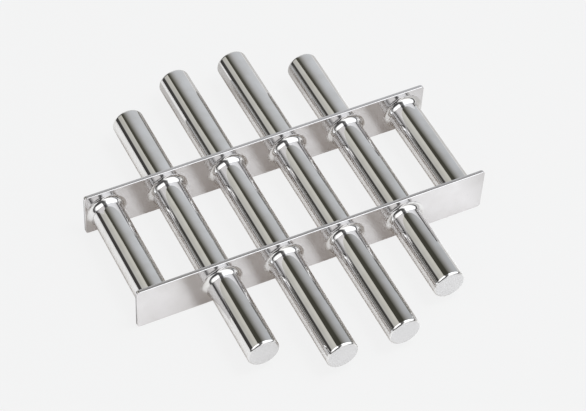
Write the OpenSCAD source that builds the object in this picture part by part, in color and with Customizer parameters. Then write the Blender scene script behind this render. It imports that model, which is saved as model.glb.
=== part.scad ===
// Grate of magnetic tubes: six sealed tubes in a row, welded through two flat side bars.
// X runs along the side bars, +Y to the rear, +Z up. The origin is below the middle of the tubes, level with
// the bottom edges of the side bars, on which the grate stands.

/* [Tubes] */
// Outside diameter of each tube
tube_d = 25; // [20:0.5:30]
// Wall thickness of each tube
tube_wall = 1; // [0.8:0.1:2]
// Open gap between neighbouring tubes
tube_gap = 25; // [15:0.5:40]
// Overall length of the two middle tubes, with their end plugs
long_tube_length = 296; // [270:1:340]
// Overall length of the tubes on either side of them, with their end plugs
mid_tube_length = 246; // [200:1:264]

/* [Side bars] */
// Open distance between the two side bars, which is the length of the outer tubes
bar_gap = 94; // [70:1:130]
// Thickness of each side bar
bar_thickness = 3; // [2:0.5:6]
// How far the middle of the two bars lies in front of the middle of the tubes
bar_shift = 2; // [0:0.5:8]
// Metal left in the bar below a tube
metal_below = 5.5; // [4.5:0.5:12]
// Metal left in the bar above a tube
metal_above = 8.5; // [4.5:0.5:16]
// Metal left in the bar beyond the outer tubes
metal_beyond = 4.5; // [4.5:0.5:16]
// Radius of the bar's corners, seen from the front
bar_corner_r = 2.5; // [1:0.5:4]
// Radius of the bar's polished edges
bar_edge_r = 0.5; // [0.2:0.1:0.8]
// Radial clearance of a tube in its hole
hole_fit = 0.1; // [0.05:0.05:0.3]

/* [Welds] */
// How far a weld fillet reaches along the tube, and along the bar
weld_reach = 4; // [2:0.25:4.25]
// Radius of the polished hollow of each weld fillet
weld_hollow_r = 4.5; // [4.5:0.5:20]
// Thickness left where a weld runs out on the tube or on the bar
weld_toe = 0.25; // [0.1:0.05:0.4]

/* [End plugs] */
// Thickness of the flange that closes the end of a free tube
plug_flange = 4; // [3:0.5:8]
// Radius of the rounded rim of that flange
plug_rim_r = 2; // [0.5:0.25:2.5]
// Length of the part of a plug that reaches into the tube
plug_spigot = 5; // [3:0.5:10]
// Depth of the shallow chamfer that leads a plug into its tube
plug_lead = 0.6; // [0.2:0.1:1]
// Radial clearance of a plug in its tube
plug_fit = 0.05; // [0.02:0.01:0.1]

/* [Magnets] */
// Length that each magnet comes nearest to, before the stack is made to fill its tube
magnet_length = 20; // [12:1:30]
// Thickness of each steel pole piece
pole_thickness = 4; // [2:0.5:6]
// Radial clearance of the stack in its tube
stack_fit = 0.2; // [0.1:0.05:0.4]
// Chamfer on the edges of each magnet
magnet_chamfer = 0.4; // [0.2:0.1:0.6]

/* [Hidden] */
$fn = 96;
tube_count = 6;
TUBES = [1:tube_count];
NUMBERED = ["tube", "front_plug", "rear_plug", "magnets", "pole_pieces", "welds"];
// Extra reach of a cut beyond the face that it opens
cut = 1;
// Step in which magnets are ground to length
magnet_step = 0.01;
tube_r = tube_d / 2;
bore_r = tube_r - tube_wall;
pitch = tube_d + tube_gap;
axis_height = metal_below + tube_r;
bar_height = metal_below + tube_d + metal_above;
bar_length = (tube_count - 1) * pitch + tube_d + 2 * metal_beyond;
// Half the straight distance between a weld's toes, and the middle of the circle that hollows it
half_face = (weld_reach - weld_toe) / sqrt(2);
face_middle = (weld_reach + weld_toe) / 2;
hollow_middle = face_middle + sqrt((weld_hollow_r * weld_hollow_r - half_face * half_face) / 2);
stack_r = bore_r - stack_fit;
// The four bar faces along Y, from front to rear
front_outer_y = -bar_shift - bar_gap / 2 - bar_thickness;
front_inner_y = front_outer_y + bar_thickness;
rear_inner_y = front_inner_y + bar_gap;
rear_outer_y = rear_inner_y + bar_thickness;

// Steps from the middle of the row to a tube, counted from the left
function steps_out(i) = i - (tube_count + 1) / 2;
function tube_x(i) = steps_out(i) * pitch;

// The outer tubes stop at the bars, and the others pass through them
function stops_at_bars(i) = i == 1 || i == tube_count;

// Overall length of a through tube with its plugs
function through_length(i) = abs(steps_out(i)) < 1 ? long_tube_length : mid_tube_length;

// Both ends of a closed tube, along Y
function front_end(i) = stops_at_bars(i) ? front_inner_y : -through_length(i) / 2;
function rear_end(i) = stops_at_bars(i) ? rear_inner_y : through_length(i) / 2;

// What the plug adds beyond the end of the bare tube
function flange(i) = stops_at_bars(i) ? 0 : plug_flange;

// Both ends of the magnet stack, along Y
function stack_front(i) = front_end(i) + flange(i) + plug_spigot;
function stack_length(i) = rear_end(i) - front_end(i) - 2 * (flange(i) + plug_spigot);

// Whole magnets that fill the stack, with a pole piece at both ends and between each two. Their length is
// rounded down, and the play that this leaves is at the rear plug.
function magnet_count(i) =
    max(1, round((stack_length(i) - pole_thickness) / (magnet_length + pole_thickness)));
function exact_magnet(i) =
    (stack_length(i) - (magnet_count(i) + 1) * pole_thickness) / magnet_count(i);
function fitted_magnet(i) = floor(exact_magnet(i) / magnet_step) * magnet_step;
function stack_step(i) = fitted_magnet(i) + pole_thickness;

// Puts a shape that stands along +Z on the axis of tube i, pointing to the rear from y
module on_axis(i, y) {
    translate([tube_x(i), y, axis_height])
        rotate([-90, 0, 0])
            children();
}

// The same, pointing to the front
module on_axis_forward(i, y) {
    translate([tube_x(i), y, axis_height])
        rotate([90, 0, 0])
            children();
}

module rounded_rectangle(width, height, r) {
    square([width - 2 * r, height], center = true);
    square([width, height - 2 * r], center = true);
    for (sx = [-1, 1], sy = [-1, 1])
        translate([sx * (width / 2 - r), sy * (height / 2 - r)])
            circle(r);
}

// A flat bar standing on edge, rounded along every edge, centred on the origin
module bar_blank() {
    intersection() {
        rotate([90, 0, 0])
            linear_extrude(bar_thickness + 2 * cut, center = true)
                rounded_rectangle(bar_length, bar_height, bar_corner_r);
        rotate([90, 0, 90])
            linear_extrude(bar_length + 2 * cut, center = true)
                rounded_rectangle(bar_thickness, bar_height, bar_edge_r);
        linear_extrude(bar_height + 2 * cut, center = true)
            rounded_rectangle(bar_length, bar_thickness, bar_edge_r);
    }
}

// A side bar with its front face at y and a hole for each tube that passes through it
module side_bar(y) {
    color("gainsboro")
        difference() {
            translate([0, y + bar_thickness / 2, bar_height / 2])
                bar_blank();
            for (i = TUBES)
                if (!stops_at_bars(i))
                    on_axis(i, y - cut)
                        cylinder(h = bar_thickness + 2 * cut, r = tube_r + hole_fit);
        }
}

module tube(i) {
    length = rear_end(i) - front_end(i) - 2 * flange(i);
    color("silver")
        on_axis(i, front_end(i) + flange(i))
            difference() {
                cylinder(h = length, r = tube_r);
                translate([0, 0, -cut])
                    cylinder(h = length + 2 * cut, r = bore_r);
            }
}

// Half section of the plug that closes a free end: a flange as wide as the tube, and a spigot inside it
module free_plug_section() {
    spigot_r = bore_r - plug_fit;
    difference() {
        square([tube_r, plug_flange]);
        translate([tube_r - plug_rim_r, -cut])
            square([plug_rim_r + cut, plug_rim_r + cut]);
    }
    intersection() {
        translate([tube_r - plug_rim_r, plug_rim_r])
            circle(plug_rim_r);
        square([tube_r, plug_flange]);
    }
    translate([0, plug_flange])
        square([spigot_r, plug_spigot - plug_lead]);
    translate([0, plug_flange])
        square([spigot_r - plug_lead, plug_spigot]);
    polygon([
        [0, plug_flange + plug_spigot - plug_lead],
        [spigot_r, plug_flange + plug_spigot - plug_lead],
        [spigot_r - plug_lead, plug_flange + plug_spigot],
        [0, plug_flange + plug_spigot]
    ]);
}

// Half section of the plug inside a tube that stops at a bar
module hidden_plug_section() {
    spigot_r = bore_r - plug_fit;
    polygon([
        [0, 0],
        [spigot_r, 0],
        [spigot_r, plug_spigot - plug_lead],
        [spigot_r - plug_lead, plug_spigot],
        [0, plug_spigot]
    ]);
}

module plug(i) {
    color("lightgray")
        rotate_extrude()
            if (stops_at_bars(i)) hidden_plug_section();
            else free_plug_section();
}

module front_plug(i) {
    on_axis(i, front_end(i))
        plug(i);
}

module rear_plug(i) {
    on_axis_forward(i, rear_end(i))
        plug(i);
}

module magnet(length) {
    rotate_extrude()
        polygon([
            [0, 0],
            [stack_r - magnet_chamfer, 0],
            [stack_r, magnet_chamfer],
            [stack_r, length - magnet_chamfer],
            [stack_r - magnet_chamfer, length],
            [0, length]
        ]);
}

module magnets(i) {
    color("dimgray")
        for (k = [0:magnet_count(i) - 1])
            on_axis(i, stack_front(i) + pole_thickness + k * stack_step(i))
                magnet(fitted_magnet(i));
}

module pole_pieces(i) {
    color("slategray")
        for (k = [0:magnet_count(i)])
            on_axis(i, stack_front(i) + k * stack_step(i))
                cylinder(h = pole_thickness, r = stack_r);
}

// A weld ring with its flat side down: a hollow fillet that runs out on the tube and on the bar
module weld_ring() {
    rotate_extrude()
        translate([tube_r, 0])
            difference() {
                square([weld_reach, weld_reach]);
                translate([hollow_middle, hollow_middle])
                    circle(weld_hollow_r);
            }
}

module welds(i) {
    color("whitesmoke") {
        on_axis(i, front_inner_y)
            weld_ring();
        on_axis_forward(i, rear_inner_y)
            weld_ring();
        if (!stops_at_bars(i)) {
            on_axis_forward(i, front_outer_y)
                weld_ring();
            on_axis(i, rear_outer_y)
                weld_ring();
        }
    }
}

side_bar(front_outer_y);  // front_side_bar
side_bar(rear_inner_y);  // rear_side_bar
for (i = TUBES) {
    tube(i);
    front_plug(i);
    rear_plug(i);
    magnets(i);
    pole_pieces(i);
    welds(i);
}
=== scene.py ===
"""The looks of a grate of magnetic tubes: six polished tubes welded through two flat side bars.

Every size is in metres, and every piece keeps the frame's own axes: X along the side bars, +Y to
the rear and +Z up.
"""

import math

import bpy
from bpy.props import FloatProperty, FloatVectorProperty, IntProperty, PointerProperty
from mathutils import Matrix, Vector


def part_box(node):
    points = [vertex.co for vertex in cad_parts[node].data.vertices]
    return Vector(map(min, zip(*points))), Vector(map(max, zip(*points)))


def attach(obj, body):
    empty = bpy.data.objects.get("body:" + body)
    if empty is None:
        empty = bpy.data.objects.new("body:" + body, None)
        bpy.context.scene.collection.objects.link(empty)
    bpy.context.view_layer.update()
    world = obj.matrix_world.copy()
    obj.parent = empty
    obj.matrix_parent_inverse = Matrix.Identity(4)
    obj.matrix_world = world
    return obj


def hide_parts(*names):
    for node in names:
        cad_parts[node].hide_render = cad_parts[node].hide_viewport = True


bl_info = {
    "name": "Magnetic Grate",
    "version": (1, 0, 0),
    "blender": (4, 5, 0),
    "location": "3D View > Sidebar > Grate",
    "description": "Dresses a grate of magnetic tubes in polished steel and sets up its studio",
    "category": "Object",
}

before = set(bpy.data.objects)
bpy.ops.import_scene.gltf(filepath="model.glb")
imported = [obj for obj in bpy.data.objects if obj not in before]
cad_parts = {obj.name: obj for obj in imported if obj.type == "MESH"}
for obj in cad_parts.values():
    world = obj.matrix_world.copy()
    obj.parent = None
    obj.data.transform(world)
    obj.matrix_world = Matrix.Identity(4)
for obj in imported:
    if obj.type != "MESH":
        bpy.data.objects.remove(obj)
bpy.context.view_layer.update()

TUBES = range(1, 7)
THROUGH_TUBES = range(2, 6)
OUTER_TUBES = (1, 6)
SIDES = ("front", "rear")
X, Y, Z = range(3)

# Vertices closer than this are one vertex
MERGE_DISTANCE = 1e-6
# Edges that turn less than this are shaded smooth
SMOOTH_ANGLE = math.radians(35)
# A face whose normal runs along an axis by more than this is a flat one
FLAT_FACE = 0.99999
# A plug's face is ground as far round its rim as the normal runs along Y by more than this
GROUND_FACE = 0.86
# A second edge at this many rim radii keeps the straight flange's shading straight
RIM_GUARD = 1.06
# Waves in a metre of weld
WAVE_SCALE = 140.0
# The waves set in between these shares of the weld's reach, in from the tube and from the bar
WAVE_START = (0.07, 0.2)
# The floor lies this far below the bars' bottom edges, and has this many corners
FLOOR_GAP = 0.0001
FLOOR_STEPS = 256

# Fineness of the polishing grain along X, Y and Z, per metre
TUBE_GRAIN = (60.0, 2500.0, 60.0)
BAR_GRAIN = (30.0, 1500.0, 1500.0)
FACE_GRAIN = (300.0, 300.0, 1500.0)
WELD_GRAIN = (700.0, 700.0, 700.0)
EVEN_GRAIN = (1500.0, 1500.0, 1500.0)
# Depth of that grain
FINE_RELIEF = 3e-7
BAR_RELIEF = 4e-6
WELD_RELIEF = 1e-5
# Clouds in a metre of metal, and the stretch of their noise over which the dull tint turns bright
CLOUD_SCALE = 90.0
CLOUD_SPAN = (0.35, 0.65)
# The stretch of the grain's noise over which the metal gets rougher, and by what share it does so
# either way
GRAIN_SPAN = (0.3, 0.7)
GLOSS_SPREAD = 0.35
# A plug's ground face is this many times as rough as a side bar
FACE_ROUGHNESS = 1.4
SAWN_ROUGHNESS = 0.3
TURNED_ROUGHNESS = 0.3
# Bright tint, dull tint, roughness and grain of what is sealed in the tubes
MAGNET_FINISH = ((0.16, 0.155, 0.15), (0.09, 0.088, 0.085), 0.5, EVEN_GRAIN)
POLE_FINISH = ((0.50, 0.49, 0.48), (0.38, 0.37, 0.36), 0.35, TUBE_GRAIN)

# A Mix node's colour sockets go by number, since its other sockets have the same names
MIX_INPUTS = (6, 7)
MIX_RESULT = 2
# Distance between neighbouring nodes in the node editor
NODE_SPACING = 180


# Sizes read from the frame

def low(node, axis):
    """Where a node of the CAD begins along an axis."""
    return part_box(node)[0][axis]


def high(node, axis):
    """Where it ends."""
    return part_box(node)[1][axis]


def middle(node, axis):
    """Half way between the two."""
    return (low(node, axis) + high(node, axis)) / 2


def length(node, axis):
    """The distance between them."""
    return high(node, axis) - low(node, axis)


TUBE_RADIUS = length("tube_1", X) / 2
AXIS_HEIGHT = middle("tube_1", Z)
WELD_REACH = length("welds_1", X) / 2 - TUBE_RADIUS
PLUG_LENGTH = length("front_plug_2", Y)
PLUG_FLANGE = low("tube_2", Y) - low("front_plug_2", Y)


# What a user would change

class GrateSizes(bpy.types.PropertyGroup):
    """Sizes that the frame doesn't give by itself"""

    tube_wall: FloatProperty(
        name="Tube wall", description="Thickness of each tube's wall",
        default=0.001, min=0.0005, max=0.003, unit="LENGTH")
    plug_rim: FloatProperty(
        name="Plug rim", description="Radius of the rounded rim of each end plug",
        default=0.002, min=0.0005, max=0.003, unit="LENGTH")
    plug_fit: FloatProperty(
        name="Plug fit", description="Radial clearance of a plug in its tube",
        default=0.00005, min=0.00001, max=0.0005, precision=5, unit="LENGTH")
    plug_lead: FloatProperty(
        name="Plug lead", description="Chamfer that leads a plug into its tube",
        default=0.0006, min=0.0001, max=0.002, precision=4, unit="LENGTH")
    weld_toe: FloatProperty(
        name="Weld toe", description="Thickness left where a weld runs out",
        default=0.00025, min=0.0001, max=0.001, precision=5, unit="LENGTH")
    weld_hollow: FloatProperty(
        name="Weld hollow", description="Radius of the polished hollow of each weld",
        default=0.0045, min=0.0045, max=0.02, precision=4, unit="LENGTH")
    weld_waves: FloatProperty(
        name="Weld waves", description="Depth of the hollows that hand polishing leaves in a weld",
        default=0.00016, min=0.0, max=0.0005, precision=5, unit="LENGTH")
    bar_corner: FloatProperty(
        name="Bar corner", description="Radius of a side bar's corners, seen from the front",
        default=0.0025, min=0.001, max=0.005, unit="LENGTH")
    bar_edge: FloatProperty(
        name="Bar edge", description="Radius of a side bar's polished edges",
        default=0.0005, min=0.0001, max=0.001, precision=4, unit="LENGTH")
    hole_fit: FloatProperty(
        name="Hole fit", description="Radial clearance of a tube in its hole",
        default=0.0001, min=0.0, max=0.0005, precision=5, unit="LENGTH")
    round_steps: IntProperty(
        name="Round steps", description="Faces round each tube",
        default=192, min=32, max=512)
    edge_steps: IntProperty(
        name="Edge steps", description="Faces across each rounded edge and each weld",
        default=14, min=2, max=32)


class GrateFinish(bpy.types.PropertyGroup):
    """Colours and roughness of the metals"""

    tube_bright: FloatVectorProperty(
        name="Tube bright", description="Mirror-polished tube, where it is cleanest",
        default=(0.74, 0.735, 0.735), size=3, min=0.0, max=1.0, subtype="COLOR")
    tube_dull: FloatVectorProperty(
        name="Tube dull", description="Mirror-polished tube, where polish residue dims it",
        default=(0.69, 0.68, 0.67), size=3, min=0.0, max=1.0, subtype="COLOR")
    bar_bright: FloatVectorProperty(
        name="Bar bright", description="Side bar, where it is cleanest",
        default=(0.72, 0.708, 0.716), size=3, min=0.0, max=1.0, subtype="COLOR")
    bar_dull: FloatVectorProperty(
        name="Bar dull", description="Side bar, where it is dimmer",
        default=(0.685, 0.672, 0.676), size=3, min=0.0, max=1.0, subtype="COLOR")
    face_bright: FloatVectorProperty(
        name="Face bright", description="Ground face of an end plug, where it is cleanest",
        default=(0.625, 0.62, 0.625), size=3, min=0.0, max=1.0, subtype="COLOR")
    face_dull: FloatVectorProperty(
        name="Face dull", description="Ground face of an end plug, where it is dimmer",
        default=(0.60, 0.595, 0.60), size=3, min=0.0, max=1.0, subtype="COLOR")
    # Painted shade: the sawn ends are rough, and their dark colour also stands in for the dark
    # reflection seen on these narrow faces
    shaded_cut_end: FloatVectorProperty(
        name="Cut end", description="Sawn ends of the side bars",
        default=(0.36, 0.36, 0.37), size=3, min=0.0, max=1.0, subtype="COLOR")
    tube_roughness: FloatProperty(
        name="Tube roughness", description="Roughness of the mirror polish",
        default=0.03, min=0.0, max=1.0, subtype="FACTOR")
    bar_roughness: FloatProperty(
        name="Bar roughness", description="Roughness of the side bars' faces",
        default=0.14, min=0.0, max=1.0, subtype="FACTOR")


class GrateStudio(bpy.types.PropertyGroup):
    """Camera, floor and light"""

    azimuth: FloatProperty(
        name="Azimuth", description="Where the camera stands round the grate, from the front",
        default=math.radians(-28.527), subtype="ANGLE", unit="ROTATION")
    elevation: FloatProperty(
        name="Elevation", description="How high the camera stands",
        default=math.radians(49.163), subtype="ANGLE", unit="ROTATION")
    roll: FloatProperty(
        name="Roll", description="Turn of the camera about its own view line",
        default=math.radians(3.314), subtype="ANGLE", unit="ROTATION")
    distance: FloatProperty(
        name="Distance", description="From the camera to the point that it looks at",
        default=1.6243, min=0.3, unit="LENGTH")
    target: FloatVectorProperty(
        name="Target", description="Point that the camera looks at",
        default=(0.00899, 0.00172, 0.00653), size=3, subtype="XYZ", unit="LENGTH")
    lens: FloatProperty(
        name="Lens", description="Focal length in millimetres on a sensor 36 mm wide",
        default=131.9, min=20.0)
    floor_radius: FloatProperty(
        name="Floor radius", description="Radius of the round pale floor",
        default=0.40, min=0.3, unit="LENGTH")
    backdrop: FloatVectorProperty(
        name="Backdrop", description="Colour that the camera sees behind the grate",
        default=(0.896, 0.896, 0.896), size=3, min=0.0, max=1.0, subtype="COLOR")
    floor_white: FloatVectorProperty(
        name="Floor white", description="Colour of the floor where light falls on it",
        default=(0.63, 0.65, 0.66), size=3, min=0.0, max=1.0, subtype="COLOR")
    # Painted shade: the floor's colour in the metal's reflections behind the grate and to its right,
    # standing in for light that falls off there
    floor_painted_shade: FloatVectorProperty(
        name="Floor dim",
        description="Colour of the floor as metal mirrors it behind the grate and to its right",
        default=(0.355, 0.368, 0.375), size=3, min=0.0, max=1.0, subtype="COLOR")
    floor_glow: FloatVectorProperty(
        name="Floor glow", description="What the floor adds to its light where metal mirrors it",
        default=(0.135, 0.10, 0.075), size=3, min=0.0, max=1.0, subtype="COLOR")
    lamp_place: FloatVectorProperty(
        name="Lamp place", description="Middle of the soft lamp, above and a little to the right",
        default=(0.46, -0.25, 1.40), size=3, subtype="XYZ", unit="LENGTH")
    lamp_size: FloatProperty(
        name="Lamp size", description="Width of the soft lamp",
        default=0.50, min=0.05, unit="LENGTH")
    lamp_power: FloatProperty(
        name="Lamp power", description="Power of the soft lamp in watts",
        default=12.0, min=0.0)


# Node helpers

def feed(tree, socket, value):
    """Gives an input a value, or links another node's output to it."""
    if isinstance(value, bpy.types.NodeSocket):
        tree.links.new(value, socket)
    else:
        socket.default_value = value


def add(tree, kind, inputs=(), **options):
    """Adds a node, sets its options and feeds its inputs."""
    node = tree.nodes.new(kind)
    node.location = (NODE_SPACING * len(tree.nodes), 0)
    for option, value in options.items():
        setattr(node, option, value)
    for key, value in dict(inputs).items():
        feed(tree, node.inputs[key], value)
    return node


def put(tree, kind, inputs=(), **options):
    """Adds a node in the same way, and gives its first output."""
    return add(tree, kind, inputs, **options).outputs[0]


def calc(tree, operation, a, b=0.0, c=0.0):
    """One Math node."""
    return put(tree, "ShaderNodeMath", {0: a, 1: b, 2: c}, operation=operation)


def minus(tree, value):
    return calc(tree, "MULTIPLY", value, -1.0)


def vector(tree, x=0.0, y=0.0, z=0.0):
    return put(tree, "ShaderNodeCombineXYZ", {"X": x, "Y": y, "Z": z})


def split(tree, vector_output):
    """The X, Y and Z outputs of a vector."""
    return add(tree, "ShaderNodeSeparateXYZ", {0: vector_output}).outputs


def remap(tree, value, start, end, low_out=0.0, high_out=1.0, smooth=False):
    """A value between start and end, mapped to another range and held there beyond its ends."""
    inputs = {
        "Value": value, "From Min": start, "From Max": end, "To Min": low_out, "To Max": high_out}
    kind = "SMOOTHSTEP" if smooth else "LINEAR"
    return add(tree, "ShaderNodeMapRange", inputs, interpolation_type=kind).outputs["Result"]


def mix(tree, factor, *colours):
    """Two colours mixed, the second one in full where the factor is 1."""
    inputs = {0: factor}
    for key, colour in zip(MIX_INPUTS, colours):
        linked = isinstance(colour, bpy.types.NodeSocket)
        inputs[key] = colour if linked else (*colour, 1.0)
    return add(tree, "ShaderNodeMix", inputs, data_type="RGBA").outputs[MIX_RESULT]


def pick(tree, index, values, kind):
    """The value that stands at the index in a list of values or outputs."""
    switch = add(tree, "GeometryNodeIndexSwitch", data_type=kind)
    while len(switch.index_switch_items) < len(values):
        switch.index_switch_items.new()
    feed(tree, switch.inputs["Index"], index)
    for k, value in enumerate(values):
        feed(tree, switch.inputs[1 + k], value)
    return switch.outputs[0]


# Shapes, each one a tree of Geometry Nodes

def shape_tree(name, sockets):
    """An empty tree with named inputs, and the outputs that give them."""
    tree = bpy.data.node_groups.new(name, "GeometryNodeTree")
    tree.is_modifier = True
    for label, kind in sockets.items():
        tree.interface.new_socket(label, in_out="INPUT", socket_type="NodeSocket" + kind)
    tree.interface.new_socket("Geometry", in_out="OUTPUT", socket_type="NodeSocketGeometry")
    return tree, tree.nodes.new("NodeGroupInput").outputs


def finish_tree(tree, geometry, material, face_material=None, end_material=None):
    """Realizes instances, shades round surfaces smooth and flat ones flat, and sets the materials.

    The face material goes on what faces mostly along Y, and the end material on flats that face
    along X.
    """
    realized = put(tree, "GeometryNodeRealizeInstances", {0: geometry})
    merged = put(tree, "GeometryNodeMergeByDistance", {0: realized, "Distance": MERGE_DISTANCE})
    turn = add(tree, "GeometryNodeInputMeshEdgeAngle").outputs["Unsigned Angle"]
    soft = put(tree, "FunctionNodeCompare", {0: turn, 1: SMOOTH_ANGLE}, operation="LESS_THAN")
    crisp = put(
        tree, "GeometryNodeSetShadeSmooth", {0: merged, "Shade Smooth": soft}, domain="EDGE")
    normal = split(tree, add(tree, "GeometryNodeInputNormal").outputs["True Normal"])
    flat, end, ground = (
        put(tree, "FunctionNodeCompare", {0: calc(tree, "ABSOLUTE", normal[axis]), 1: least},
            operation="GREATER_THAN")
        for axis, least in (("Y", FLAT_FACE), ("X", FLAT_FACE), ("Y", GROUND_FACE)))
    level = {0: crisp, "Selection": flat, "Shade Smooth": False}
    planes = put(tree, "GeometryNodeSetShadeSmooth", level, domain="FACE")
    painted = put(tree, "GeometryNodeSetMaterial", {0: planes, "Material": material})
    for where, other in ((ground, face_material), (end, end_material)):
        if other:
            chosen = {0: painted, "Selection": where, "Material": other}
            painted = put(tree, "GeometryNodeSetMaterial", chosen)
    add(tree, "NodeGroupOutput", {0: painted})
    return tree


def outline(tree, points, corners=(), steps=1, closed=True):
    """A line through points, where corners gives (index, radius) of those that are rounded."""
    line = put(tree, "GeometryNodeMeshLine", {"Count": len(points)})
    index = put(tree, "GeometryNodeInputIndex")
    place = pick(tree, index, [vector(tree, *point) for point in points], "VECTOR")
    drawn = put(tree, "GeometryNodeSetPosition", {0: line, "Position": place})
    curve = put(tree, "GeometryNodeMeshToCurve", {0: drawn})
    curve = put(tree, "GeometryNodeSetSplineCyclic", {0: curve, "Cyclic": closed})
    size = 0.0
    for corner, radius in corners:
        here = put(
            tree, "FunctionNodeCompare", {2: index, 3: corner}, data_type="INT", operation="EQUAL")
        size = calc(tree, "MULTIPLY_ADD", here, radius, size)
    if corners:
        rounding = {0: curve, "Count": steps, "Radius": size, "Limit Radius": False}
        curve = put(tree, "GeometryNodeFilletCurve", rounding, mode="POLY")
    return curve


def circle(tree, radius, steps):
    return put(tree, "GeometryNodeCurvePrimitiveCircle", {"Resolution": steps, "Radius": radius})


def swept(tree, path, profile):
    """A profile swept along a path that lies flat, with its first direction outwards."""
    upright = put(tree, "GeometryNodeSetCurveNormal", {0: path}, mode="Z_UP")
    return put(tree, "GeometryNodeCurveToMesh", {0: upright, "Profile Curve": profile})


def placed(tree, geometry, place, turn=0.0):
    """Stands a shape that lies flat up, so that its profiles run along +Y.

    Then it is turned about Z and moved.
    """
    upright = {0: geometry, "Rotation": (math.radians(90), 0.0, 0.0)}
    up = put(tree, "GeometryNodeTransform", upright)
    about_z = vector(tree, z=turn)
    return put(tree, "GeometryNodeTransform", {0: up, "Translation": place, "Rotation": about_z})


def tube_tree():
    """A straight tube, from its front end to the rear."""
    tree, given = shape_tree("Tube", {
        "Front End": "Vector", "Length": "Float", "Radius": "Float", "Wall": "Float",
        "Round Steps": "Int", "Material": "Material"})
    inner, far = minus(tree, given["Wall"]), given["Length"]
    section = outline(tree, [(inner, 0.0), (0.0, 0.0), (0.0, far), (inner, far)])
    body = swept(tree, circle(tree, given["Radius"], given["Round Steps"]), section)
    return finish_tree(tree, placed(tree, body, given["Front End"]), given["Material"])


def plug_tree():
    """An end plug: a flange with a rounded rim, and the spigot behind it that fits the tube."""
    tree, given = shape_tree("End Plug", {
        "End": "Vector", "Turn": "Float", "Radius": "Float", "Flange": "Float", "Rim": "Float",
        "Length": "Float", "Spigot Radius": "Float", "Lead": "Float", "Round Steps": "Int",
        "Edge Steps": "Int", "Material": "Material", "Face Material": "Material"})
    axis = minus(tree, given["Radius"])
    spigot = calc(tree, "SUBTRACT", given["Spigot Radius"], given["Radius"])
    tip = calc(tree, "SUBTRACT", spigot, given["Lead"])
    lead_start = calc(tree, "SUBTRACT", given["Length"], given["Lead"])
    guard = calc(tree, "MULTIPLY", given["Rim"], RIM_GUARD)
    points = [
        (axis, 0.0), (0.0, 0.0), (0.0, guard), (0.0, given["Flange"]), (spigot, given["Flange"]),
        (spigot, lead_start), (tip, given["Length"]), (axis, given["Length"])]
    section = outline(tree, points, [(1, given["Rim"])], given["Edge Steps"], closed=False)
    body = swept(tree, circle(tree, given["Radius"], given["Round Steps"]), section)
    stood = placed(tree, body, given["End"], given["Turn"])
    return finish_tree(tree, stood, given["Material"], given["Face Material"])


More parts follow.
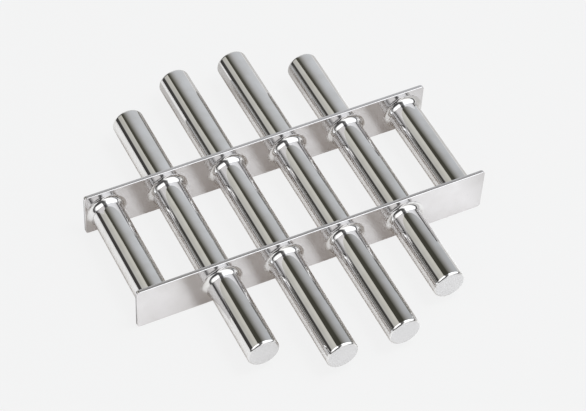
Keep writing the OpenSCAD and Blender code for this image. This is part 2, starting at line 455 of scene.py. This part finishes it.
def weld_tree():
    """The weld rings of one tube: a hollow fillet at each bar face that the tube meets."""
    # Each face with its ring's turn about Z. On faces 1 and 4 a ring runs to the rear, on 2 and 3
    # it runs to the front.
    faces = {"Face 1": 0.0, "Face 2": math.pi, "Face 3": math.pi, "Face 4": 0.0}
    tree, given = shape_tree("Welds", {
        "Axis": "Vector", "Rings": "Int", **{face: "Float" for face in faces}, "Radius": "Float",
        "Reach": "Float", "Toe": "Float", "Hollow Radius": "Float", "Waves": "Float",
        "Seed": "Float", "Round Steps": "Int", "Edge Steps": "Int", "Material": "Material"})
    reach, toe, hollow = given["Reach"], given["Toe"], given["Hollow Radius"]
    # Between its toes the face dips as far as the tangents of its hollow meet
    half_face = calc(tree, "MULTIPLY", calc(tree, "SUBTRACT", reach, toe), math.sqrt(0.5))
    slope = calc(tree, "TANGENT", calc(tree, "ARCSINE", calc(tree, "DIVIDE", half_face, hollow)))
    dip = calc(tree, "MULTIPLY", calc(tree, "MULTIPLY", half_face, slope), math.sqrt(0.5))
    face_middle = calc(tree, "MULTIPLY", calc(tree, "ADD", reach, toe), 0.5)
    apex = calc(tree, "SUBTRACT", face_middle, dip)
    points = [(0.0, 0.0), (reach, 0.0), (reach, toe), (apex, apex), (toe, reach), (0.0, reach)]
    section = outline(tree, points, [(3, hollow)], given["Edge Steps"])
    body = swept(tree, circle(tree, given["Radius"], given["Round Steps"]), section)
    ring = placed(tree, body, (0.0, 0.0, 0.0))
    # The hollow is free to wander a little, but not the toes, which stay on the tube and the bar
    spot = split(tree, put(tree, "GeometryNodeInputPosition"))
    squares = [calc(tree, "POWER", spot[axis], 2.0) for axis in "XZ"]
    off_axis = calc(tree, "POWER", calc(tree, "ADD", *squares), 0.5)
    off_tube = calc(tree, "SUBTRACT", off_axis, given["Radius"])
    depth = calc(tree, "DIVIDE", calc(tree, "MINIMUM", off_tube, spot["Y"]), reach)
    keep = add(tree, "GeometryNodeCaptureAttribute", domain="POINT")
    keep.capture_items.new("FLOAT", "Hollow")
    feed(tree, keep.inputs[0], ring)
    feed(tree, keep.inputs["Hollow"], remap(tree, depth, *WAVE_START, smooth=True))
    stations = put(tree, "GeometryNodePoints", {"Count": given["Rings"]})
    index = put(tree, "GeometryNodeInputIndex")
    face = pick(tree, index, [given[face] for face in faces], "FLOAT")
    turn = pick(tree, index, list(faces.values()), "FLOAT")
    spots = put(
        tree, "GeometryNodeSetPosition", {0: stations, "Position": vector(tree, y=face)})
    rotation = put(tree, "FunctionNodeEulerToRotation", {0: vector(tree, z=turn)})
    rings = put(
        tree, "GeometryNodeInstanceOnPoints",
        {"Points": spots, "Instance": keep.outputs[0], "Rotation": rotation})
    real = put(tree, "GeometryNodeRealizeInstances", {0: rings})
    on_axis = put(tree, "GeometryNodeTransform", {0: real, "Translation": given["Axis"]})
    waves = put(
        tree, "ShaderNodeTexNoise", {"W": given["Seed"], "Scale": WAVE_SCALE, "Detail": 1.0},
        noise_dimensions="4D")
    height = calc(tree, "MULTIPLY", calc(tree, "SUBTRACT", waves, 0.5), given["Waves"])
    height = calc(tree, "MULTIPLY", height, keep.outputs["Hollow"])
    normal = add(tree, "GeometryNodeInputNormal").outputs["Normal"]
    shift = put(tree, "ShaderNodeVectorMath", {0: normal, "Scale": height}, operation="SCALE")
    waved = put(tree, "GeometryNodeSetPosition", {0: on_axis, "Offset": shift})
    return finish_tree(tree, waved, given["Material"])


def bar_tree():
    """A flat bar on edge, rounded along every edge, with a row of holes."""
    tree, given = shape_tree("Side Bar", {
        "Front Face": "Float", "Length": "Float", "Height": "Float", "Thickness": "Float",
        "Corner": "Float", "Edge": "Float", "Holes": "Int", "Hole Radius": "Float",
        "First Hole": "Vector", "Pitch": "Float", "Round Steps": "Int", "Edge Steps": "Int",
        "Material": "Material", "End Material": "Material"})
    edge, thick = given["Edge"], given["Thickness"]
    right = calc(tree, "MULTIPLY_ADD", given["Length"], 0.5, minus(tree, edge))
    left = minus(tree, right)
    top = calc(tree, "SUBTRACT", given["Height"], edge)
    corner = calc(tree, "SUBTRACT", given["Corner"], edge)
    ends = [(left, edge), (right, edge), (right, top), (left, top)]
    rim = outline(tree, ends, [(k, corner) for k in range(4)], given["Edge Steps"])
    rolled = outline(
        tree, [(0.0, 0.0), (edge, 0.0), (edge, thick), (0.0, thick)], [(1, edge), (2, edge)],
        given["Edge Steps"], closed=False)
    row = put(tree, "GeometryNodeMeshLine", {
        "Count": given["Holes"], "Start Location": given["First Hole"],
        "Offset": vector(tree, given["Pitch"])})
    hole = circle(tree, given["Hole Radius"], given["Round Steps"])
    holes = put(tree, "GeometryNodeInstanceOnPoints", {"Points": row, "Instance": hole})
    holes = put(tree, "GeometryNodeRealizeInstances", {0: holes})
    bore = outline(tree, [(0.0, thick), (0.0, 0.0)], closed=False)
    both = add(tree, "GeometryNodeJoinGeometry")
    for curves in (rim, holes):
        tree.links.new(curves, both.inputs[0])
    front = put(tree, "GeometryNodeFillCurve", {0: both.outputs[0]}, mode="TRIANGLES")
    back = put(tree, "GeometryNodeFlipFaces", {0: front})
    behind = vector(tree, z=minus(tree, thick))
    back = put(tree, "GeometryNodeTransform", {0: back, "Translation": behind})
    skin = add(tree, "GeometryNodeJoinGeometry")
    for part in (swept(tree, rim, rolled), swept(tree, holes, bore), front, back):
        tree.links.new(part, skin.inputs[0])
    stood = placed(tree, skin.outputs[0], vector(tree, y=given["Front Face"]))
    return finish_tree(tree, stood, given["Material"], end_material=given["End Material"])


def piece_from(tree, name, values):
    """Makes a plain mesh object from a tree, with its inputs set by name."""
    piece = bpy.data.objects.new(name, bpy.data.meshes.new(name))
    bpy.context.scene.collection.objects.link(piece)
    shape = piece.modifiers.new("Shape", "NODES")
    shape.node_group = tree
    for socket in tree.interface.items_tree:
        if socket.in_out == "INPUT":
            shape[socket.identifier] = values[socket.name]
    ready = piece.evaluated_get(bpy.context.evaluated_depsgraph_get())
    mesh = bpy.data.meshes.new_from_object(ready)
    piece.modifiers.remove(shape)
    piece.data = mesh
    mesh.name = name
    return piece


def hand_in(piece, slot, *nodes):
    """Puts a finished piece on the grate's body in place of its plain nodes."""
    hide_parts(*nodes)
    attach(piece, "root")


# Finishes

def metal(name, bright, dull, roughness, grain, relief=FINE_RELIEF):
    """Steel with a cloudy tint, uneven gloss and fine grain."""
    material = bpy.data.materials.new(name)
    material.use_nodes = True
    tree = material.node_tree
    shader = tree.nodes["Principled BSDF"]
    place = add(tree, "ShaderNodeTexCoord").outputs["Object"]
    clouds = put(
        tree, "ShaderNodeTexNoise", {"Vector": place, "Scale": CLOUD_SCALE, "Detail": 4.0})
    feed(tree, shader.inputs["Base Color"],
         mix(tree, remap(tree, clouds, *CLOUD_SPAN), dull, bright))
    stretched = put(tree, "ShaderNodeMapping", {"Vector": place, "Scale": grain})
    lines = put(tree, "ShaderNodeTexNoise", {
        "Vector": stretched, "Scale": 1.0, "Detail": 2.0, "Roughness": 0.6})
    limits = (roughness * (1 - GLOSS_SPREAD), roughness * (1 + GLOSS_SPREAD))
    feed(tree, shader.inputs["Roughness"], remap(tree, lines, *GRAIN_SPAN, *limits))
    bump = put(tree, "ShaderNodeBump", {"Strength": 1.0, "Distance": relief, "Height": lines})
    feed(tree, shader.inputs["Normal"], bump)
    feed(tree, shader.inputs["Metallic"], 1.0)
    return material


def mirror_steel(context):
    """The tubes' mirror polish, made once and shared by the tubes and the rims of their plugs."""
    looks = context.scene.grate_finish
    return bpy.data.materials.get("mirror_tube_steel") or metal(
        "mirror_tube_steel", looks.tube_bright, looks.tube_dull, looks.tube_roughness, TUBE_GRAIN)


# The camera and the floor

SENSOR_WIDTH = 36.0
NEAREST_SEEN = 0.05
# How far the camera sees the plain backdrop on the floor instead of light and shadow
CAMERA_SHARE = 0.95
# Painted shade: where the floor's colour begins to darken in the metal's reflections, and where it
# is darkest
PAINTED_SHADE_RIGHT = (0.135, 0.176)
PAINTED_SHADE_BEHIND = (0.10, 0.138)
# The painted shade on the floor behind the grate lies only to the right of here
PAINTED_SHADE_BEHIND_FROM = (-0.11, -0.075)


def make_camera(scene, studio):
    """The camera, turned round the grate, raised and rolled by the studio's angles."""
    azimuth, elevation, roll = studio.azimuth, studio.elevation, studio.roll
    back = Vector((
        math.sin(azimuth) * math.cos(elevation), -math.cos(azimuth) * math.cos(elevation),
        math.sin(elevation)))
    right = Vector((math.cos(azimuth), math.sin(azimuth), 0.0))
    up = back.cross(right)
    turned_right = right * math.cos(roll) + up * math.sin(roll)
    turned_up = up * math.cos(roll) - right * math.sin(roll)
    camera = bpy.data.objects.new("camera", bpy.data.cameras.new("camera"))
    camera.data.lens = studio.lens
    camera.data.sensor_width = SENSOR_WIDTH
    camera.data.clip_start = NEAREST_SEEN
    facing = Matrix((turned_right, turned_up, back)).transposed().to_4x4()
    place = Vector(studio.target) + back * studio.distance
    camera.matrix_world = Matrix.Translation(place) @ facing
    scene.collection.objects.link(camera)
    scene.camera = camera


def make_lamp(scene, studio):
    """A soft lamp above that throws the floor's shadows to the left. The metal doesn't mirror it."""
    lamp = bpy.data.objects.new("lamp", bpy.data.lights.new("lamp", "AREA"))
    lamp.data.shape = "DISK"
    lamp.data.size = studio.lamp_size
    lamp.data.energy = studio.lamp_power
    place = Vector(studio.lamp_place)
    facing = place.to_track_quat("Z", "Y").to_matrix().to_4x4()
    lamp.matrix_world = Matrix.Translation(place) @ facing
    lamp.visible_glossy = False
    scene.collection.objects.link(lamp)


def make_floor(studio):
    """A round pale floor with the backdrop's colour, which keeps a faint shadow of the grate."""
    tree, given = shape_tree("Floor", {"Radius": "Float", "Material": "Material"})
    disc = put(
        tree, "GeometryNodeMeshCircle", {"Vertices": FLOOR_STEPS, "Radius": given["Radius"]},
        fill_type="NGON")
    painted = put(tree, "GeometryNodeSetMaterial", {0: disc, "Material": given["Material"]})
    add(tree, "NodeGroupOutput", {0: painted})
    values = {"Radius": studio.floor_radius, "Material": floor_material(studio)}
    floor = piece_from(tree, "floor", values)
    floor.data.transform(Matrix.Translation((0.0, 0.0, -FLOOR_GAP)))


def floor_material(studio):
    """Pale and matt, but the camera sees mostly the backdrop's plain colour on it."""
    material = bpy.data.materials.new("pale_floor")
    material.use_nodes = True
    tree = material.node_tree
    tree.nodes.clear()
    rays = add(tree, "ShaderNodeLightPath").outputs
    # Painted shade: the metal mirrors a darker floor colour to the right of the grate and behind it,
    # standing in for light that falls off there
    place = split(tree, add(tree, "ShaderNodeTexCoord").outputs["Object"])
    aside = remap(tree, place["X"], *PAINTED_SHADE_RIGHT)
    behind = remap(tree, place["Y"], *PAINTED_SHADE_BEHIND)
    behind = calc(tree, "MULTIPLY", behind, remap(tree, place["X"], *PAINTED_SHADE_BEHIND_FROM))
    painted_shade = calc(tree, "MAXIMUM", aside, behind)
    painted_shade = calc(tree, "MULTIPLY", painted_shade, rays["Is Glossy Ray"])
    white = mix(tree, painted_shade, studio.floor_white, studio.floor_painted_shade)
    lit = put(tree, "ShaderNodeBsdfDiffuse", {"Color": white})
    plain = put(tree, "ShaderNodeEmission", {"Color": (*studio.backdrop, 1.0)})
    glow = put(tree, "ShaderNodeEmission", {
        "Color": (*studio.floor_glow, 1.0), "Strength": rays["Is Glossy Ray"]})
    mirrored = put(tree, "ShaderNodeAddShader", {0: lit, 1: glow})
    share = calc(tree, "MULTIPLY", rays["Is Camera Ray"], CAMERA_SHARE)
    mixed = put(tree, "ShaderNodeMixShader", {0: share, 1: mirrored, 2: plain})
    add(tree, "ShaderNodeOutputMaterial", {0: mixed})
    return material


# The studio's light

def grey(level, warm=0.0):
    """A grey of that level, warmer above zero and cooler below."""
    return (level * (1 + warm), level, level * (1 - warm))


def olive(level, tint):
    """A grey of that level that lacks some blue, and has a tenth as much red to spare."""
    return (level * (1 + tint * 0.1), level, level * (1 - tint))


BLACK = (0.0, 0.0, 0.0)
WARM_DARK = grey(0.06, 0.04)
# The warm panel, near its top and near its foot
KHAKI_HIGH = (0.735, 0.725, 0.665)
KHAKI_LOW = (0.62, 0.615, 0.575)

# Degrees from the right horizon over the top to the left one, each with the light's colour there
COOL_PANEL = (
    (0, grey(0.74, -0.03)), (20, grey(0.74, -0.035)), (46, grey(0.68, -0.03)),
    (59, grey(0.62, -0.02)), (71, grey(0.50)), (83, olive(0.33, 0.06)), (94, olive(0.165, 0.13)),
    (99, olive(0.075, 0.22)), (180, olive(0.07, 0.22)))
WARM_PANEL = (
    (110, KHAKI_HIGH), (124, KHAKI_HIGH), (141, KHAKI_LOW), (153, KHAKI_LOW),
    (157, grey(0.10, 0.04)), (161, WARM_DARK), (180, grey(0.055, 0.04)))
FRONT_PANELS = (
    (0, grey(0.06)), (8, grey(0.06)), (13, grey(0.50)), (18, grey(1.20, -0.02)),
    (34, grey(1.40, -0.03)), (78, grey(1.50, -0.03)), (84, grey(0.50)), (88, grey(0.13)),
    (105, grey(0.09)), (109, grey(1.20)), (148, grey(1.20)), (157, grey(0.75)),
    (163, grey(0.55)), (166, grey(0.25)), (169, grey(0.08)), (180, grey(0.06)))
LOW_FRONT_PANEL = (
    (0, grey(0.10)), (9, grey(0.10)), (16, grey(1.20)), (22, grey(1.50)), (70, grey(1.50)),
    (84, grey(0.50)), (92, grey(0.10)), (180, grey(0.08)))
# The same for the soft light at the rear end, which changes once between these two
REAR_END_TURNS = (86, 104)
REAR_END_LIGHT = (grey(0.85), grey(0.06))
# The same for the place where the two panels behind meet, at its front and at its rear
PANELS_MEET = (112.2, 124.0)
# By how many degrees the cool panel is turned at its front and at its rear, and what share of its
# light is left there
COOL_PANEL_TURN = (23, -20)
COOL_PANEL_SHARE = (0.80, 1.0)
# The front panels' strength, low in front and above the grate
FRONT_STRENGTH = (1.0, 1.6)

# A direction's Y is -1 in front and 1 behind. These are the stretches of Y, from front to rear,
# in which one part of the light gives way to the next or changes.
LOW_FRONT_ENDS = (-0.70, -0.65)
FRONT_BRIGHTENS = (-0.48, -0.36)
FRONT_ENDS = (0.28, 0.44)
COOL_PANEL_TURNS = (0.50, 0.66)
COOL_PANEL_BRIGHTENS = (0.51, 0.59)
MEETING_MOVES = (0.595, 0.62)
WARM_PANEL_ENDS = (0.655, 0.685)
REAR_END = (0.80, 0.96)

# Half the width of the soft edge where the panels behind meet, in half turns
SOFT_EDGE = 0.004
# Directions this far below the horizon see the floor go on
HORIZON = (-0.004, 0.0)
# Keeps the swing of a direction below the horizon on its own side
LEAST_HEIGHT = 0.0001


def half_turns(degrees):
    """Several angles in degrees, as shares of the half turn between the horizons."""
    return [each / 180 for each in degrees]


def panel(tree, swing, stops):
    """A panel's colour at a swing in half turns, from its (degrees, colour) stops."""
    node = add(tree, "ShaderNodeValToRGB", {"Fac": swing})
    elements = node.color_ramp.elements
    while len(elements) < len(stops):
        elements.new(0.5)
    places = half_turns(degrees for degrees, _ in stops)
    for element, place, (_, colour) in zip(elements, places, stops):
        element.position = place
        element.color = (*colour, 1.0)
    return node.outputs["Color"]


def make_world(scene, studio):
    """Soft panels all round: a warm one on the left, a cool one on the right, bright ones in front.

    It is dark between them and along their feet, and plain soft light closes the rear end.
    """
    world = bpy.data.worlds.new("studio")
    world.use_nodes = True
    scene.world = world
    tree = world.node_tree
    tree.nodes.clear()
    axes = split(tree, add(tree, "ShaderNodeTexCoord").outputs["Generated"])
    above = calc(tree, "MAXIMUM", axes["Z"], LEAST_HEIGHT)
    # 0 at the right horizon, 0.5 overhead and 1 at the left horizon
    swing = calc(tree, "DIVIDE", calc(tree, "ARCTAN2", above, axes["X"]), math.pi)
    turn = remap(tree, axes["Y"], *COOL_PANEL_TURNS, *half_turns(COOL_PANEL_TURN))
    cool = panel(tree, calc(tree, "ADD", swing, turn), COOL_PANEL)
    share = remap(tree, axes["Y"], *COOL_PANEL_BRIGHTENS, *COOL_PANEL_SHARE)
    cool = mix(tree, share, BLACK, cool)
    warm = panel(tree, swing, WARM_PANEL)
    # Toward the rear the warm panel ends, and the dark goes on behind it
    warm = mix(tree, remap(tree, axes["Y"], *WARM_PANEL_ENDS, smooth=True), warm, WARM_DARK)
    edge = remap(tree, axes["Y"], *MEETING_MOVES, *half_turns(PANELS_MEET))
    beyond = calc(tree, "SUBTRACT", swing, edge)
    behind = mix(tree, remap(tree, beyond, -SOFT_EDGE, SOFT_EDGE, smooth=True), cool, warm)
    # In front a dark gap between two bright panels goes on from the one behind. Low in front the
    # left panel ends, and the dark goes on under it.
    ahead = panel(tree, swing, FRONT_PANELS)
    lowest = panel(tree, swing, LOW_FRONT_PANEL)
    front = mix(tree, remap(tree, axes["Y"], *LOW_FRONT_ENDS, smooth=True), lowest, ahead)
    # These panels are brightest above the grate, where its upper edges and welds mirror them
    strength = remap(tree, axes["Y"], *FRONT_BRIGHTENS, *FRONT_STRENGTH, smooth=True)
    front = put(tree, "ShaderNodeVectorMath", {0: front, "Scale": strength}, operation="SCALE")
    around = mix(tree, remap(tree, axes["Y"], *FRONT_ENDS, smooth=True), front, behind)
    # The panels would meet in a star at the rear end of the Y axis, so plain soft light takes over
    ends = remap(tree, axes["Y"], *REAR_END, smooth=True)
    crossed = remap(tree, swing, *half_turns(REAR_END_TURNS), smooth=True)
    light = mix(tree, ends, around, mix(tree, crossed, *REAR_END_LIGHT))
    # Below the horizon the floor goes on
    light = mix(tree, remap(tree, axes["Z"], *HORIZON), tuple(studio.backdrop), light)
    seen = add(tree, "ShaderNodeLightPath").outputs["Is Camera Ray"]
    colour = mix(tree, seen, light, tuple(studio.backdrop))
    shade = put(tree, "ShaderNodeBackground", {"Color": colour, "Strength": 1.0})
    add(tree, "ShaderNodeOutputWorld", {0: shade})


# Operators, one for each group of like pieces and one for the stage

class GRATE_OT_stage(bpy.types.Operator):
    """Places the camera, the floor and the studio's light"""
    bl_idname = "grate.stage"
    bl_label = "Stage"

    def execute(self, context):
        studio = context.scene.grate_studio
        make_camera(context.scene, studio)
        make_floor(studio)
        make_world(context.scene, studio)
        make_lamp(context.scene, studio)
        context.scene.view_settings.view_transform = "Standard"
        return {"FINISHED"}


class GRATE_OT_side_bars(bpy.types.Operator):
    """Builds both side bars"""
    bl_idname = "grate.side_bars"
    bl_label = "Side Bars"

    def execute(self, context):
        sizes, looks = context.scene.grate_sizes, context.scene.grate_finish
        steel = metal(
            "satin_bar_steel", looks.bar_bright, looks.bar_dull, looks.bar_roughness, BAR_GRAIN,
            BAR_RELIEF)
        # The sawn ends are rough, and their dark colour is partly painted shade for the dark
        # reflection on them
        shaded_cut = metal("sawn_bar_end_painted_shade", looks.shaded_cut_end, looks.shaded_cut_end, SAWN_ROUGHNESS, EVEN_GRAIN)
        tree = bar_tree()
        for side in SIDES:
            node = side + "_side_bar"
            bar = piece_from(tree, "dressed_" + node, {
                "Front Face": low(node, Y), "Length": length(node, X), "Height": length(node, Z),
                "Thickness": length(node, Y), "Corner": sizes.bar_corner, "Edge": sizes.bar_edge,
                "Holes": len(THROUGH_TUBES), "Hole Radius": TUBE_RADIUS + sizes.hole_fit,
                "First Hole": (middle("tube_2", X), AXIS_HEIGHT, 0.0),
                "Pitch": middle("tube_3", X) - middle("tube_2", X),
                "Round Steps": sizes.round_steps, "Edge Steps": sizes.edge_steps,
                "Material": steel, "End Material": shaded_cut})
            hand_in(bar, "side_bar", node)
        return {"FINISHED"}


class GRATE_OT_tubes(bpy.types.Operator):
    """Builds the six tubes"""
    bl_idname = "grate.tubes"
    bl_label = "Tubes"

    def execute(self, context):
        sizes = context.scene.grate_sizes
        steel = mirror_steel(context)
        tree = tube_tree()
        for i in TUBES:
            node = f"tube_{i}"
            tube = piece_from(tree, "dressed_" + node, {
                "Front End": (middle(node, X), low(node, Y), AXIS_HEIGHT),
                "Length": length(node, Y), "Radius": TUBE_RADIUS, "Wall": sizes.tube_wall,
                "Round Steps": sizes.round_steps, "Material": steel})
            hand_in(tube, "tube", node)
        return {"FINISHED"}


class GRATE_OT_end_plugs(bpy.types.Operator):
    """Builds the plugs that close the eight free tube ends"""
    bl_idname = "grate.end_plugs"
    bl_label = "End Plugs"

    def execute(self, context):
        sizes, looks = context.scene.grate_sizes, context.scene.grate_finish
        face = metal(
            "ground_plug_face", looks.face_bright, looks.face_dull,
            looks.bar_roughness * FACE_ROUGHNESS, FACE_GRAIN)
        tree = plug_tree()
        for side in SIDES:
            for i in THROUGH_TUBES:
                node = f"{side}_plug_{i}"
                end, turn = (low(node, Y), 0.0) if side == "front" else (high(node, Y), math.pi)
                plug = piece_from(tree, "dressed_" + node, {
                    "End": (middle(node, X), end, AXIS_HEIGHT), "Turn": turn,
                    "Radius": TUBE_RADIUS, "Flange": PLUG_FLANGE, "Rim": sizes.plug_rim,
                    "Length": PLUG_LENGTH, "Lead": sizes.plug_lead,
                    "Spigot Radius": TUBE_RADIUS - sizes.tube_wall - sizes.plug_fit,
                    "Round Steps": sizes.round_steps, "Edge Steps": sizes.edge_steps,
                    "Material": mirror_steel(context), "Face Material": face})
                hand_in(plug, "end_plug", node)
        return {"FINISHED"}


class GRATE_OT_welds(bpy.types.Operator):
    """Builds the polished weld fillets round each tube"""
    bl_idname = "grate.welds"
    bl_label = "Welds"

    def execute(self, context):
        sizes, looks = context.scene.grate_sizes, context.scene.grate_finish
        steel = metal(
            "polished_weld", looks.tube_bright, looks.tube_dull, looks.tube_roughness, WELD_GRAIN,
            WELD_RELIEF)
        tree = weld_tree()
        for i in TUBES:
            node = f"welds_{i}"
            weld = piece_from(tree, "dressed_" + node, {
                "Axis": (middle(node, X), 0.0, AXIS_HEIGHT), "Rings": 2 if i in OUTER_TUBES else 4,
                "Face 1": high("front_side_bar", Y), "Face 2": low("rear_side_bar", Y),
                "Face 3": low("front_side_bar", Y), "Face 4": high("rear_side_bar", Y),
                "Radius": TUBE_RADIUS, "Reach": WELD_REACH, "Toe": sizes.weld_toe,
                "Hollow Radius": sizes.weld_hollow, "Waves": sizes.weld_waves, "Seed": float(i),
                "Round Steps": sizes.round_steps, "Edge Steps": sizes.edge_steps,
                "Material": steel})
            hand_in(weld, "weld", node)
        return {"FINISHED"}


class GRATE_OT_inner_parts(bpy.types.Operator):
    """Finishes the magnets, the pole pieces and the plugs that no one sees"""
    bl_idname = "grate.inner_parts"
    bl_label = "Inner Parts"

    def execute(self, context):
        looks = context.scene.grate_finish
        magnet = metal("sintered_magnet", *MAGNET_FINISH)
        pole = metal("turned_pole_steel", *POLE_FINISH)
        plug = metal(
            "turned_plug_steel", looks.bar_bright, looks.bar_dull, TURNED_ROUGHNESS, TUBE_GRAIN)
        dressed = {f"magnets_{i}": magnet for i in TUBES}
        dressed.update({f"pole_pieces_{i}": pole for i in TUBES})
        dressed.update({f"{side}_plug_{i}": plug for side in SIDES for i in OUTER_TUBES})
        for node, material in dressed.items():
            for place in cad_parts[node].material_slots:
                place.material = material
        return {"FINISHED"}


class GRATE_PT_panel(bpy.types.Panel):
    """Lists the grate's pieces, sizes and finishes"""
    bl_idname = "GRATE_PT_panel"
    bl_label = "Magnetic Grate"
    bl_space_type = "VIEW_3D"
    bl_region_type = "UI"
    bl_category = "Grate"

    def draw(self, context):
        layout, scene = self.layout, context.scene
        for operator in OPERATORS:
            layout.operator(operator.bl_idname)
        for group in (scene.grate_sizes, scene.grate_finish, scene.grate_studio):
            box = layout.box()
            for name in group.__annotations__:
                box.prop(group, name)


OPERATORS = (
    GRATE_OT_stage, GRATE_OT_side_bars, GRATE_OT_tubes, GRATE_OT_end_plugs, GRATE_OT_welds,
    GRATE_OT_inner_parts)
CLASSES = (GrateSizes, GrateFinish, GrateStudio, *OPERATORS, GRATE_PT_panel)


def register():
    for each in CLASSES:
        bpy.utils.register_class(each)
    bpy.types.Scene.grate_sizes = PointerProperty(type=GrateSizes)
    bpy.types.Scene.grate_finish = PointerProperty(type=GrateFinish)
    bpy.types.Scene.grate_studio = PointerProperty(type=GrateStudio)


def unregister():
    del bpy.types.Scene.grate_studio
    del bpy.types.Scene.grate_finish
    del bpy.types.Scene.grate_sizes
    for each in reversed(CLASSES):
        bpy.utils.unregister_class(each)


def main():
    register()
    bpy.ops.grate.stage()
    bpy.ops.grate.side_bars()
    bpy.ops.grate.tubes()
    bpy.ops.grate.end_plugs()
    bpy.ops.grate.welds()
    bpy.ops.grate.inner_parts()


if __name__ == "__main__":
    main()
